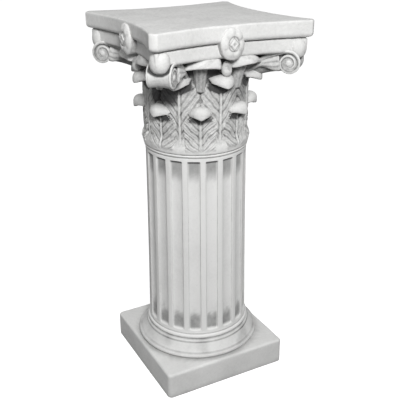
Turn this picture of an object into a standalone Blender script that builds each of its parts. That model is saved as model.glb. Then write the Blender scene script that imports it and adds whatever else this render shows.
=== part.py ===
"""A stone column 0.76 m tall in three stacked pieces: base, fluted shaft and leaf-carved capital.

Metres, +Z up. The origin is the middle of the plinth's underside. The faces of plinth and slab look
along X and Y. An azimuth is an angle about Z in radians, from +X towards +Y.
"""
from math import cos, pi, radians, sin, sqrt, tau

import bmesh
import bpy
import numpy as np

# Heights of the column, from the floor up
COLUMN_HEIGHT = 0.760
PLINTH_HEIGHT = 0.058
BASE_HEIGHT = 0.096
SHAFT_HEIGHT = 0.4145
JOINT_GAP = 0.0003

# Base: square plinth and round mouldings
PLINTH_SIDE = 0.282
PLINTH_EDGE = 0.0045
TORUS_RADIUS = 0.1337
TORUS_LIP = 0.0050
TORUS_UNDERCUT = 0.0035
SLOPE_FOOT_RADIUS = 0.1272
SLOPE_TOP_RADIUS = 0.1158
SLOPE_RISE = 0.0185
FILLET_RADIUS = 0.1146
FILLET_HEIGHT = 0.0035

# Shaft: eighteen shallow flutes between flat fillets, a bead below and rings above
SHAFT_FOOT_RADIUS = 0.1087
SHAFT_NECK_RADIUS = 0.1042
SHAFT_SPREAD = 1.7
SEAT_RADIUS = 0.1075
BEAD_RADIUS = 0.0046
BEAD_REACH = 0.1126
FLUTE_COUNT = 18
FLUTE_SHARE = 0.71
FLUTE_DEPTH = 0.0052
FLUTE_FOOT_MARGIN = 0.0170
FLUTE_NECK_MARGIN = 0.0133
FLUTE_FOOT_RUNOUT = 0.0070
FLUTE_NECK_RUNOUT = 0.0016
NECK_GROOVE_DEPTH = 0.0016
NECK_GROOVE_WIDTH = 0.0018
NECK_RING_RADIUS = 0.0024
NECK_RING_REACH = 0.1060

# Capital: collar and bell
COLLAR_RADIUS = 0.1078
COLLAR_SEAT_RADIUS = 0.1055
COLLAR_HEIGHT = 0.0155
COLLAR_SLOPE = 0.0065
COLLAR_RUNOUT = 0.0085
BELL_RADIUS = 0.0998
BELL_LIP_RADIUS = 0.1180
BELL_FLARE_RISE = 0.0600

# Capital: slab with hollowed sides and cut corners
SLAB_WIDTH = 0.333
SLAB_CORNER_CUT = 0.0112
SLAB_HOLLOW = 0.0240
SLAB_HEIGHT = 0.0610
SLAB_UPPER_HEIGHT = 0.0315
SLAB_EDGE = 0.0030
SLAB_OVOLO_INSET = 0.0075
SLAB_OVOLO_RISE = 0.0090
SLAB_GROOVE_DEPTH = 0.0035
SLAB_GROOVE_WIDTH = 0.0020
SLAB_BAND_INSET = 0.0105
SLAB_BAND_ROUND = 0.0070

# Capital: two rows of leaves
LEAF_COUNT = 8
LEAF_SKIN = 0.0036
LEAF_ROOT_SINK = 0.0085
LEAF_RIB_RISE = 0.0040
LEAF_LOBE_RISE = 0.0064
LEAF_LOBE_LIFT = 0.22
LEAF_TIP_THICKNESS = 0.0098
LEAF_TIP_EDGE = 0.0052
LEAF_TIP_BOW = 0.0045
LEAF_TIP_DOME = 0.0060
LEAF_TIP_TAPER = 0.62
LEAF_TIP_TURN = radians(180)
LOWER_LEAF_FOOT = 0.0090
LOWER_LEAF_BEND = 0.0841
LOWER_LEAF_CURL = 0.0083
LOWER_LEAF_WIDTH = 0.0660
LOWER_TIP_WIDTH = 0.0450
LOWER_TIP_DROOP = 0.0112
UPPER_LEAF_FOOT = 0.0300
UPPER_LEAF_BEND = 0.1385
UPPER_LEAF_CURL = 0.0122
UPPER_LEAF_WIDTH = 0.0740
UPPER_STEM_WIDTH = 0.0130
UPPER_TIP_WIDTH = 0.0480
UPPER_TIP_DROOP = 0.0070
CORNER_LEAF_BEND = 0.1385
CORNER_LEAF_CURL = 0.0135
CORNER_TIP_WIDTH = 0.0460

# Capital: corner scrolls, the pads between them and the slab, and the sheaths that hold them
VOLUTE_REACH = 0.1885
VOLUTE_DROP = 0.0180
VOLUTE_RADIUS = 0.0245
VOLUTE_WIDTH = 0.0460
VOLUTE_TURNS = 1.5
VOLUTE_END_RADIUS = 0.0108
VOLUTE_RIBBON = 0.0066
VOLUTE_END_RIBBON = 0.0040
VOLUTE_EYE_RADIUS = 0.0165
VOLUTE_EYE_SINK = 0.0018
STALK_ROOT_SINK = 0.0098
STALK_ROOT_DROP = 0.0440
PAD_REACH = 0.2145
PAD_LENGTH = 0.0300
PAD_WIDTH = 0.0360
PAD_DROP = 0.0075
BRACKET_ROOT_SINK = 0.0050
BRACKET_ROOT_DROP = 0.0600
BRACKET_TIP_DROP = 0.0365
BRACKET_WIDTH = 0.0300
SHEATH_ROOT_REACH = 0.1120
SHEATH_TIP_REACH = 0.1700
SHEATH_ROOT_HEIGHT = 0.0070
SHEATH_TIP_HEIGHT = 0.0330
SHEATH_BULGE = 0.0055

# Capital: stems, curls, buds and rosettes of the four sides
STEM_ROOT_RADIUS = 0.0070
STEM_TOP_RADIUS = 0.0120
STEM_ROOT_DROP = 0.0640
STEM_LEAN = 0.0160
CURL_START = radians(41)
CURL_END = radians(7)
CURL_REACH = 0.1290
CURL_ARCH_REACH = 0.0180
CURL_HEIGHT = 0.0210
CURL_ARCH_HEIGHT = 0.0080
CURL_DEPTH = 0.0160
CURL_LIP = 0.0034
BUD_REACH = 0.1330
BUD_ROOT_REACH = 0.1000
BUD_DROP = 0.0225
BUD_WIDTH = 0.0196
BUD_HEIGHT = 0.0240
ROSETTE_WIDTH = 0.0480
ROSETTE_HEIGHT = 0.0590
ROSETTE_RISE = 0.0085
ROSETTE_CORE_WIDTH = 0.0190
ROSETTE_CORE_RISE = 0.0125
ROSETTE_PETALS = 6

# Fineness of the facets
BASE_STEPS = 30
BELL_STEPS = 18
PAD_SIDES = 6
CORE_SIDES = 6
SHEATH_ROWS = 4
CURL_ROWS = 4
FLUTE_STEPS = 3
SIDE_STEPS = 6
LOWER_LEAF_ROWS = 5
UPPER_LEAF_ROWS = 5

STONE = (0.78, 0.78, 0.76, 1.0)

slab_bottom = COLUMN_HEIGHT - SLAB_HEIGHT
stalk_root_reach = BELL_RADIUS - STALK_ROOT_SINK
shaft_bottom = BASE_HEIGHT + JOINT_GAP
shaft_top = shaft_bottom + SHAFT_HEIGHT
capital_bottom = shaft_top + JOINT_GAP


def clear_scene():
    """Remove every object that the new scene came with."""
    for old in list(bpy.data.objects):
        bpy.data.objects.remove(old, do_unlink=True)


def stone(name, colour, roughness):
    """Return a plain cast-stone material."""
    material = bpy.data.materials.new(name)
    material.use_nodes = True
    shader = material.node_tree.nodes["Principled BSDF"]
    shader.inputs["Base Color"].default_value = colour
    shader.inputs["Roughness"].default_value = roughness
    shader.inputs["Metallic"].default_value = 0.0
    return material


def mesh_object(name, points, faces, material, sharp=40.0):
    """Make an object from points and faces, with its faces turned outwards."""
    mesh = bpy.data.meshes.new(name)
    mesh.from_pydata([tuple(map(float, point)) for point in points], [], faces)
    work = bmesh.new()
    work.from_mesh(mesh)
    bmesh.ops.recalc_face_normals(work, faces=work.faces)
    work.to_mesh(mesh)
    work.free()
    mesh.materials.append(material)
    mesh.shade_smooth()
    mesh.set_sharp_from_angle(angle=radians(sharp))
    piece = bpy.data.objects.new(name, mesh)
    bpy.context.scene.collection.objects.link(piece)
    return piece


def closed_rows(rows):
    """Join rows of points that each run round the axis, and cap the first and the last row.

    A row may have half as many points as its neighbour: then each face takes one point more.
    """
    points = []
    faces = []
    starts = []
    for row in rows:
        starts.append(len(points))
        points += [tuple(point) for point in row]
    for low, high in zip(range(len(rows) - 1), range(1, len(rows))):
        few = min(len(rows[low]), len(rows[high]))
        for step in range(few):
            face = []
            for row, ahead in ((low, 1), (high, -1)):
                ratio = len(rows[row]) // few
                span = [starts[row] + (step * ratio + index) % len(rows[row]) for index in range(ratio + 1)]
                face += span[::ahead]
            faces.append(tuple(face))
    faces.append(tuple(range(starts[0], starts[0] + len(rows[0]))))
    faces.append(tuple(range(starts[-1], starts[-1] + len(rows[-1]))))
    return np.asarray(points, float), faces


def slab_between(front, back):
    """Join two grids of points with equal numbers of rows along their borders into a closed body."""
    front = np.asarray(front, float)
    back = np.asarray(back, float)
    rows = front.shape[0]
    size = front.shape[0] * front.shape[1]
    faces = []
    for start, grid in ((0, front), (size, back)):
        columns = grid.shape[1]
        for row in range(rows - 1):
            for column in range(columns - 1):
                corner = start + row * columns + column
                faces.append((corner, corner + 1, corner + columns + 1, corner + columns))
    wide = front.shape[1]
    narrow = back.shape[1]
    for row in range(rows - 1):
        for left, right in ((row * wide, size + row * narrow),
                            (row * wide + wide - 1, size + row * narrow + narrow - 1)):
            faces.append((left, left + wide, right + narrow, right))
    for row in (0, rows - 1):
        ahead = [row * wide + column for column in range(wide)]
        behind = [size + row * narrow + column for column in range(narrow)]
        if wide == narrow:
            for step in range(wide - 1):
                faces.append((ahead[step], ahead[step + 1], behind[step + 1], behind[step]))
        else:
            faces.append(tuple(ahead + behind[::-1]))
    return np.concatenate([front.reshape(-1, 3), back.reshape(-1, 3)]), faces


def joined(bodies):
    """Put several sets of points and faces into one set."""
    points, faces, offset = [], [], 0
    for body_points, body_faces in bodies:
        points.append(np.asarray(body_points, float))
        faces += [tuple(offset + index for index in face) for face in body_faces]
        offset += len(body_points)
    return np.concatenate(points), faces


def ring(radius, height, steps):
    """Points of one level circle round the axis."""
    angles = np.arange(steps) * tau / steps
    return np.stack([radius * np.cos(angles), radius * np.sin(angles), 0 * angles + height], -1)


def arc(centre, radius, start, end, steps):
    """Points on an arc in the (radius, height) plane, from one angle to another in degrees."""
    angles = np.radians(np.linspace(start, end, steps + 1))
    return [(centre[0] + radius * cos(angle), centre[1] + radius * sin(angle)) for angle in angles]


def unite(target, others):
    """Fuse other bodies into the target, and keep them only as hidden wire guides."""
    guides = bpy.data.collections.new(target.name + " guides")
    bpy.context.scene.collection.children.link(guides)
    for other in others:
        bpy.context.scene.collection.objects.unlink(other)
        guides.objects.link(other)
        other.hide_render = True
        other.display_type = "WIRE"
    union = target.modifiers.new("union", "BOOLEAN")
    union.operation = "UNION"
    union.solver = "EXACT"
    union.operand_type = "COLLECTION"
    union.collection = guides
    union.use_self = True


def build_base(material):
    """Square plinth with softened edges, and the turned mouldings fused on top of it."""
    half = PLINTH_SIDE / 2
    work = bmesh.new()
    bmesh.ops.create_cube(work, size=1.0)
    for corner in work.verts:
        corner.co.x *= PLINTH_SIDE
        corner.co.y *= PLINTH_SIDE
        corner.co.z = PLINTH_HEIGHT * (corner.co.z + 0.5)
    softened = [edge for edge in work.edges if max(end.co.z for end in edge.verts) > PLINTH_HEIGHT / 2]
    bmesh.ops.bevel(work, geom=softened, offset=PLINTH_EDGE, segments=2, affect="EDGES", profile=0.5)
    mesh = bpy.data.meshes.new("base")
    work.to_mesh(mesh)
    work.free()
    mesh.materials.append(material)
    mesh.shade_smooth()
    mesh.set_sharp_from_angle(angle=radians(40))
    base = bpy.data.objects.new("base", mesh)
    bpy.context.scene.collection.objects.link(base)

    lip_middle = PLINTH_HEIGHT + TORUS_UNDERCUT + TORUS_LIP * 0.8
    slope_foot = lip_middle + TORUS_LIP
    slope_top = slope_foot + SLOPE_RISE
    profile = [(TORUS_RADIUS - 2.5 * TORUS_LIP, PLINTH_HEIGHT - TORUS_UNDERCUT)]
    profile += [(TORUS_RADIUS - 1.6 * TORUS_LIP, PLINTH_HEIGHT + TORUS_UNDERCUT * 0.3)]
    profile += arc((TORUS_RADIUS - TORUS_LIP, lip_middle), TORUS_LIP, -70, 75, 4)
    profile += [(SLOPE_FOOT_RADIUS, slope_foot)]
    profile += [((SLOPE_FOOT_RADIUS + SLOPE_TOP_RADIUS) / 2 - 0.0008, (slope_foot + slope_top) / 2)]
    profile += [(SLOPE_TOP_RADIUS, slope_top)]
    profile += [(FILLET_RADIUS, slope_top + 0.0003)]
    profile += [(FILLET_RADIUS, slope_top + FILLET_HEIGHT)]
    profile += [(SEAT_RADIUS + 0.0015, BASE_HEIGHT)]
    points, faces = closed_rows([ring(radius, height, BASE_STEPS) for radius, height in profile])
    mouldings = mesh_object("base mouldings", points, faces, material)
    unite(base, [mouldings])
    return base


def shaft_radius(height):
    """Radius of the fillets: a gentle spread from the neck down to the foot."""
    share = (shaft_top - height) / (shaft_top - shaft_bottom)
    return SHAFT_NECK_RADIUS + (SHAFT_FOOT_RADIUS - SHAFT_NECK_RADIUS) * share ** SHAFT_SPREAD


def plain_ring(radius, height):
    """Ring of points on the shaft's plain mouldings, half as many as on its flutes."""
    count = FLUTE_COUNT * (FLUTE_STEPS + 1) // 2
    pitch = tau / FLUTE_COUNT
    start = -pitch * FLUTE_SHARE / 2
    return [(radius * cos(start + step * tau / count), radius * sin(start + step * tau / count), height)
            for step in range(count)]


def fluted_ring(height, depth):
    """Ring of points round the shaft, with every flute sunk by the depth."""
    pitch = tau / FLUTE_COUNT
    hollow = pitch * FLUTE_SHARE
    radius = shaft_radius(height)
    row = []
    for flute in range(FLUTE_COUNT):
        start = flute * pitch - hollow / 2
        for step in range(FLUTE_STEPS + 1):
            share = step / FLUTE_STEPS
            sink = depth * sin(pi * share) ** 0.8 if 0 < step < FLUTE_STEPS else 0.0
            angle = start + hollow * share
            row.append(((radius - sink) * cos(angle), (radius - sink) * sin(angle), height))
    return row


def build_shaft(material):
    """Fluted drum with a bead at the foot and a groove and a ring at the neck."""
    flute_foot = shaft_bottom + FLUTE_FOOT_MARGIN
    flute_neck = shaft_top - FLUTE_NECK_MARGIN
    bead_middle = (BEAD_REACH - BEAD_RADIUS, shaft_bottom + BEAD_RADIUS)
    rows = [plain_ring(SEAT_RADIUS, shaft_bottom)]
    rows += [plain_ring(radius, height) for radius, height in arc(bead_middle, BEAD_RADIUS, -55, 70, 3)]
    above_bead = shaft_bottom + 2 * BEAD_RADIUS + 0.0006
    rows.append(plain_ring(shaft_radius(above_bead) + 0.0004, above_bead))
    rows.append(fluted_ring(flute_foot, 0.0))
    rows.append(fluted_ring(flute_foot + FLUTE_FOOT_RUNOUT * 0.35, FLUTE_DEPTH * 0.65))
    for height in (flute_foot + FLUTE_FOOT_RUNOUT, flute_neck - FLUTE_NECK_RUNOUT):
        rows.append(fluted_ring(height, FLUTE_DEPTH))
    rows.append(fluted_ring(flute_neck, 0.0))
    ring_bottom = shaft_top - 2.2 * NECK_RING_RADIUS
    groove_bottom = ring_bottom - NECK_GROOVE_WIDTH
    neck = shaft_radius(groove_bottom)
    rows.append(plain_ring(neck, groove_bottom))
    rows.append(plain_ring(neck - NECK_GROOVE_DEPTH, groove_bottom + NECK_GROOVE_WIDTH * 0.3))
    rows.append(plain_ring(neck - NECK_GROOVE_DEPTH, ring_bottom))
    ring_middle = (NECK_RING_REACH - NECK_RING_RADIUS, ring_bottom + NECK_RING_RADIUS)
    rows += [plain_ring(radius, height) for radius, height in arc(ring_middle, NECK_RING_RADIUS, -50, 50, 2)]
    rows.append(plain_ring(neck - NECK_GROOVE_DEPTH, shaft_top))
    points, faces = closed_rows(rows)
    return mesh_object("shaft", points, faces, material, 18.0)


def slab_outline(inset):
    """Outline of the slab at an inset: four hollowed sides between four cut corners."""
    half = SLAB_WIDTH / 2 - inset
    reach = SLAB_WIDTH / 2 - SLAB_CORNER_CUT - inset * (sqrt(2) - 1)
    row = []
    for side in range(4):
        turn = side * pi / 2
        for step in range(SIDE_STEPS + 1):
            along = -1 + 2 * step / SIDE_STEPS
            outward = half - SLAB_HOLLOW * (1 - along * along)
            sideways = reach * along
            row.append((outward * cos(turn) - sideways * sin(turn),
                        outward * sin(turn) + sideways * cos(turn)))
    return row


def build_slab(material):
    """The abacus: a thick slab with a rounded lower edge, over a narrower band."""
    groove_top = COLUMN_HEIGHT - SLAB_UPPER_HEIGHT
    levels = [(SLAB_BAND_INSET + SLAB_BAND_ROUND, slab_bottom)]
    levels += [(SLAB_BAND_INSET, slab_bottom + SLAB_BAND_ROUND)]
    levels += [(SLAB_BAND_INSET, groove_top - SLAB_GROOVE_WIDTH * 1.3)]
    levels += [(SLAB_BAND_INSET + SLAB_GROOVE_DEPTH, groove_top - SLAB_GROOVE_WIDTH)]
    levels += [(SLAB_BAND_INSET + SLAB_GROOVE_DEPTH, groove_top)]
    levels += [(SLAB_OVOLO_INSET, groove_top + 0.0005)]
    levels += [(SLAB_OVOLO_INSET * 0.35, groove_top + SLAB_OVOLO_RISE * 0.45)]
    levels += [(0.0, groove_top + SLAB_OVOLO_RISE)]
    levels += [(0.0, COLUMN_HEIGHT - SLAB_EDGE)]
    levels += [(SLAB_EDGE, COLUMN_HEIGHT)]
    rows = [[(x, y, height) for x, y in slab_outline(inset)] for inset, height in levels]
    points, faces = closed_rows(rows)
    return mesh_object("slab", points, faces, material)


def bell_radius(height):
    """Radius of the bell: straight below, flaring to its lip under the slab."""
    flare = min(max((height - (slab_bottom - BELL_FLARE_RISE)) / BELL_FLARE_RISE, 0.0), 1.0)
    return BELL_RADIUS + (BELL_LIP_RADIUS - BELL_RADIUS) * flare ** 2.6


def collar_profile():
    """Pairs of radius and height up the collar, which stands out over the shaft, to the bell's foot."""
    collar_top = capital_bottom + COLLAR_HEIGHT
    slope_top = collar_top + COLLAR_SLOPE
    return [(COLLAR_SEAT_RADIUS, capital_bottom),
            (COLLAR_RADIUS - 0.0006, capital_bottom + 0.0020),
            (COLLAR_RADIUS, capital_bottom + 0.0055),
            (COLLAR_RADIUS - 0.0010, collar_top),
            (COLLAR_RADIUS - 0.0035, slope_top),
            (BELL_RADIUS, slope_top + COLLAR_RUNOUT)]


def core_radius(height):
    """Radius of the core that the leaves lie on: the collar's up to its top, then the bell's."""
    radii, levels = np.array(collar_profile()).T
    if height > levels[-1]:
        return bell_radius(height)
    return float(np.interp(height, levels, radii))


def build_bell(name, material):
    """Collar, and the bell that carries leaves and slab."""
    collar = collar_profile()
    low = slab_bottom - BELL_FLARE_RISE
    bell = [collar.pop()]
    bell += [(bell_radius(height), height) for height in (low, low + BELL_FLARE_RISE * 0.6, slab_bottom)]
    bell += [(BELL_LIP_RADIUS, slab_bottom + SLAB_BAND_ROUND)]
    rows = [ring(radius, height, 2 * BELL_STEPS) for radius, height in collar]
    rows += [ring(radius, height, BELL_STEPS) for radius, height in bell]
    points, faces = closed_rows(rows)
    return mesh_object(name, points, faces, material)


def leaf_spine(across, climb, curled, foot, bend, curl, droop):
    """Point on a leaf's middle layer, and the normal of its face.

    Both are in the (radius, height) plane. The leaf climbs the bell up to its bend, then rolls over
    outwards on an arc and hangs down by its droop, so its face ends up on the hollow side. Towards
    the sides the bend lies lower and the arc is smaller, which makes the tip a lens.
    """
    lowered = LEAF_TIP_DOME * across ** 2
    height = capital_bottom + foot + climb * (bend - foot) - lowered * climb ** 2
    radius = core_radius(height) + LEAF_SKIN * (0.3 + 0.7 * climb)
    size = curl * (1 - LEAF_TIP_TAPER * across ** 2)
    swing = LEAF_TIP_TURN * min(curled / 0.75, 1.0)
    hang = max(droop * (1 - abs(across)), 0.0010) * max(curled - 0.75, 0.0) * 4
    radius += size * (1 - cos(swing)) - LEAF_TIP_BOW * curled * across ** 2
    return radius, height + size * sin(swing) - hang, cos(swing), -sin(swing)


def leaf_rows(count, stem_width, width, tip_width):
    """Rows of a leaf as (climb, curl, half width, lobe): lobes and notches below, then the curl."""
    rows = []
    for row in range(count + 1):
        climb = row / count
        opening = min(max((climb - 0.2) / 0.4, 0.0), 1.0)
        half = stem_width / 2 + (width - stem_width) / 2 * opening
        rows.append((climb, 0.0, half * (1.0 if row % 2 else 0.82), row % 2))
    rows[-1] = (1.0, 0.0, tip_width / 2, 0)
    for curl, share in ((0.36, 1.0), (0.75, 0.97), (1.0, 0.85)):
        rows.append((1.0, curl, tip_width / 2 * share, 0))
    return rows


def leaf_body(azimuth, count, foot, bend, curl, width, stem_width, tip_width, droop):
    """One acanthus leaf: lobes in pairs up both sides of a raised rib, and a full rolled tip."""
    front = []
    back = []
    for climb, curled, half, lobe in leaf_rows(count, stem_width, width, tip_width):
        flat = 1 - min(curled * 2.5, 1.0)
        front_row = []
        back_row = []
        for across in (-1.0, -0.5, 0.0, 0.5, 1.0):
            lifted = climb + LEAF_LOBE_LIFT * abs(across) * climb * (1 - climb) * 4
            thick = LEAF_TIP_THICKNESS + (LEAF_TIP_EDGE - LEAF_TIP_THICKNESS) * abs(across) ** 3
            radius, height, out, up = leaf_spine(across, lifted, curled, foot, bend, curl, droop)
            crest = LEAF_RIB_RISE * (across == 0) + LEAF_LOBE_RISE * (lobe - 0.4) * (abs(across) == 0.5)
            face = (crest - 0.0022 * (abs(across) == 1)) * flat + thick / 2 * (1 - flat)
            rear = -LEAF_ROOT_SINK * flat - thick / 2 * (1 - flat)
            angle = azimuth + across * half / BELL_RADIUS / (1 + 0.25 * curled)
            for rise, target in ((face, front_row), (rear, back_row)):
                reach = radius + rise * out
                target.append((reach * cos(angle), reach * sin(angle), height + rise * up))
        front.append(front_row)
        back.append(back_row)
    return slab_between(front, back)


def build_leaves(name, material, first, kinds):
    """A row of leaves round the bell, the first one at the given azimuth, their sizes by turns."""
    bodies = [leaf_body(first + index * tau / LEAF_COUNT, *kinds[index % len(kinds)])
              for index in range(LEAF_COUNT)]
    points, faces = joined(bodies)
    return mesh_object(name, points, faces, material, 12.0)


def on_diagonal(corner, reach, side, height):
    """Point at a reach along a corner's diagonal and at a distance sideways from it."""
    angle = pi / 4 + corner * pi / 2
    return (reach * cos(angle) - side * sin(angle), reach * sin(angle) + side * cos(angle), height)


def prism_on_diagonal(corner, outline, half_width):
    """Carry an outline in the diagonal's upright plane across its width."""
    count = len(outline)
    points = [on_diagonal(corner, reach, side, height)
              for side in (-half_width, half_width) for reach, height in outline]
    faces = [tuple(range(count)), tuple(range(2 * count - 1, count - 1, -1))]
    for step in range(count):
        following = (step + 1) % count
        faces.append((following, step, count + step, count + following))
    return points, faces


def stalk_height(reach):
    """Height of the ribbon's upper side where it climbs from the bell to the scroll's top."""
    root = slab_bottom - STALK_ROOT_DROP
    top = slab_bottom - VOLUTE_DROP + VOLUTE_RADIUS
    share = (reach - stalk_root_reach) / (VOLUTE_REACH - stalk_root_reach)
    return root + (top - root) * sin(share * pi / 2) ** 0.87


def volute_outline():
    """Outline of the ribbon: out of the bell, over the top and round in a narrowing scroll."""
    middle = (VOLUTE_REACH, slab_bottom - VOLUTE_DROP)
    outer = []
    inner = []
    for share in (0.0, 0.3, 0.55, 0.8):
        reach = stalk_root_reach + (VOLUTE_REACH - stalk_root_reach) * share
        height = stalk_height(reach)
        outer.append((reach, height))
        under = VOLUTE_RIBBON * (2.5 - 1.5 * share)
        inner.append((reach + VOLUTE_RIBBON * 0.5 * (1 - share), height - under))
    steps = 11
    for step in range(steps + 1):
        share = step / steps
        angle = pi / 2 - tau * VOLUTE_TURNS * share
        radius = VOLUTE_RADIUS + (VOLUTE_END_RADIUS - VOLUTE_RADIUS) * share
        inside = radius - VOLUTE_RIBBON - (VOLUTE_END_RIBBON - VOLUTE_RIBBON) * share
        outer.append((middle[0] + radius * cos(angle), middle[1] + radius * sin(angle)))
        inner.append((middle[0] + inside * cos(angle), middle[1] + inside * sin(angle)))
    return outer + inner[::-1]


def pad_body(corner):
    """Rounded pad that the slab's corner rests with on the scroll, as level rings from its foot up."""
    rows = []
    for height, spread in ((slab_bottom - PAD_DROP, 0.6), (slab_bottom + SLAB_BAND_ROUND, 1.0)):
        row = []
        for step in range(PAD_SIDES):
            turn = (step + 0.5) * tau / PAD_SIDES
            reach = PAD_REACH - PAD_LENGTH / 2 + PAD_LENGTH / 2 * spread * cos(turn) / cos(pi / PAD_SIDES)
            row.append(on_diagonal(corner, reach, PAD_WIDTH / 2 * spread * sin(turn), height))
        rows.append(row)
    return closed_rows(rows)


def bracket_outline():
    """Outline of the rib under the ribbon: it rises steeply from the bell and levels out to the scroll.

    Its upper side lies inside the ribbon.
    """
    inside = VOLUTE_RIBBON * 0.6
    root = BELL_RADIUS - BRACKET_ROOT_SINK
    tip = VOLUTE_REACH - VOLUTE_RADIUS * 0.35
    rise = BRACKET_ROOT_DROP - BRACKET_TIP_DROP
    lower = []
    upper = []
    for share, climb in ((0.0, 0.0), (0.35, 0.62), (1.0, 1.0)):
        reach = root + (tip - root) * share
        lower.append((reach, slab_bottom - BRACKET_ROOT_DROP + rise * climb))
        upper.append((reach, stalk_height(reach) - inside))
    return lower + upper[::-1]


def build_volutes(material):
    """Four corner scrolls: a ribbon each, the rib under it, the core in its turns, and the pad."""
    ribbons = [prism_on_diagonal(corner, volute_outline(), VOLUTE_WIDTH / 2) for corner in range(4)]
    middle = (VOLUTE_REACH, slab_bottom - VOLUTE_DROP)
    disc = arc(middle, VOLUTE_EYE_RADIUS, 15, 345, CORE_SIDES)
    cores = [prism_on_diagonal(corner, disc, VOLUTE_WIDTH / 2 - VOLUTE_EYE_SINK) for corner in range(4)]
    pads = [pad_body(corner) for corner in range(4)]
    ribs = [prism_on_diagonal(corner, bracket_outline(), BRACKET_WIDTH / 2) for corner in range(4)]
    groups = {"volute ribbons": ribbons, "volute ribs": ribs, "volute cores": cores,
              "corner pads": pads}
    pieces = []
    for name, bodies in groups.items():
        points, faces = joined(bodies)
        pieces.append(mesh_object(name, points, faces, material))
    return pieces


def sheath_body(corner, hand):
    """Leaf under a scroll's ribbon, narrow at the bell and full where it meets the scroll."""
    front = []
    back = []
    for step in range(SHEATH_ROWS):
        share = step / (SHEATH_ROWS - 1)
        reach = SHEATH_ROOT_REACH + (SHEATH_TIP_REACH - SHEATH_ROOT_REACH) * share
        top = stalk_height(reach) - VOLUTE_RIBBON * 0.6
        tall = SHEATH_ROOT_HEIGHT + (SHEATH_TIP_HEIGHT - SHEATH_ROOT_HEIGHT) * share ** 2.4
        tall = tall * (1.0 if step % 2 else 0.9)
        front_row = []
        back_row = []
        for down in (0.0, 0.5, 1.0):
            side = VOLUTE_WIDTH / 2 - 0.0035 + SHEATH_BULGE * sin(pi * (0.15 + 0.7 * down))
            height = top - tall * down
            front_row.append(on_diagonal(corner, reach, hand * side, height))
            if down != 0.5:
                inner = hand * (VOLUTE_WIDTH / 2 - 0.014)
                back_row.append(on_diagonal(corner, reach, inner, height + 0.002 * down))
        front.append(front_row)
        back.append(back_row)
    return slab_between(front, back)


def curl_body(side, hand):
    """One of a side's pair of curls: a lip under the slab that arches from its stem to the middle."""
    front = []
    back = []
    for step in range(CURL_ROWS):
        share = step / (CURL_ROWS - 1)
        azimuth = side * pi / 2 + hand * (CURL_START + (CURL_END - CURL_START) * share)
        arch = sin(pi * share)
        lip = CURL_REACH + CURL_ARCH_REACH * arch ** 0.8
        low = slab_bottom - CURL_HEIGHT + CURL_ARCH_HEIGHT * arch
        crown = slab_bottom + 0.0035
        outline = [(lip - CURL_DEPTH, crown), (lip - CURL_DEPTH * 0.3, low + (crown - low) * 0.75),
                   (lip, low + CURL_LIP * 0.5)]
        hollow = [(BELL_LIP_RADIUS - 0.010, slab_bottom + 0.0030),
                  (lip - 2.2 * CURL_LIP, slab_bottom - 0.0022)]
        front.append([(reach * cos(azimuth), reach * sin(azimuth), height) for reach, height in outline])
        back.append([(reach * cos(azimuth), reach * sin(azimuth), height) for reach, height in hollow])
    return slab_between(front, back)


def stem_body(azimuth):
    """Short stem between two upper leaves, which the sheath and the curl grow from."""
    rows = []
    for share in (0.0, 1.0):
        height = slab_bottom - STEM_ROOT_DROP + (STEM_ROOT_DROP - CURL_LIP) * share
        reach = BELL_RADIUS + 0.001 + STEM_LEAN * share ** 1.5
        radius = STEM_ROOT_RADIUS + (STEM_TOP_RADIUS - STEM_ROOT_RADIUS) * share
        row = []
        for turn in (0.0, 0.4 * pi, pi, 1.6 * pi):
            out = reach + radius * cos(turn)
            aside = radius * sin(turn)
            row.append((out * cos(azimuth) - aside * sin(azimuth),
                        out * sin(azimuth) + aside * cos(azimuth), height))
        rows.append(row)
    return closed_rows(rows)


def boss_body(side, height, width, tall, profile, steps, scallop):
    """Rounded boss on a side's middle, pointing outwards.

    The profile holds pairs of a reach from the axis and a share of the boss's full size there.
    """
    angle = side * pi / 2
    rows = []
    for reach, spread in profile:
        row = []
        for step in range(steps):
            turn = step * tau / steps
            wave = spread * (1 + scallop * spread * (1 if step % 2 else -1))
            aside = width / 2 * wave * cos(turn)
            row.append((reach * cos(angle) - aside * sin(angle),
                        reach * sin(angle) + aside * cos(angle), height + tall / 2 * wave * sin(turn)))
        rows.append(row)
    return closed_rows(rows)


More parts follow.
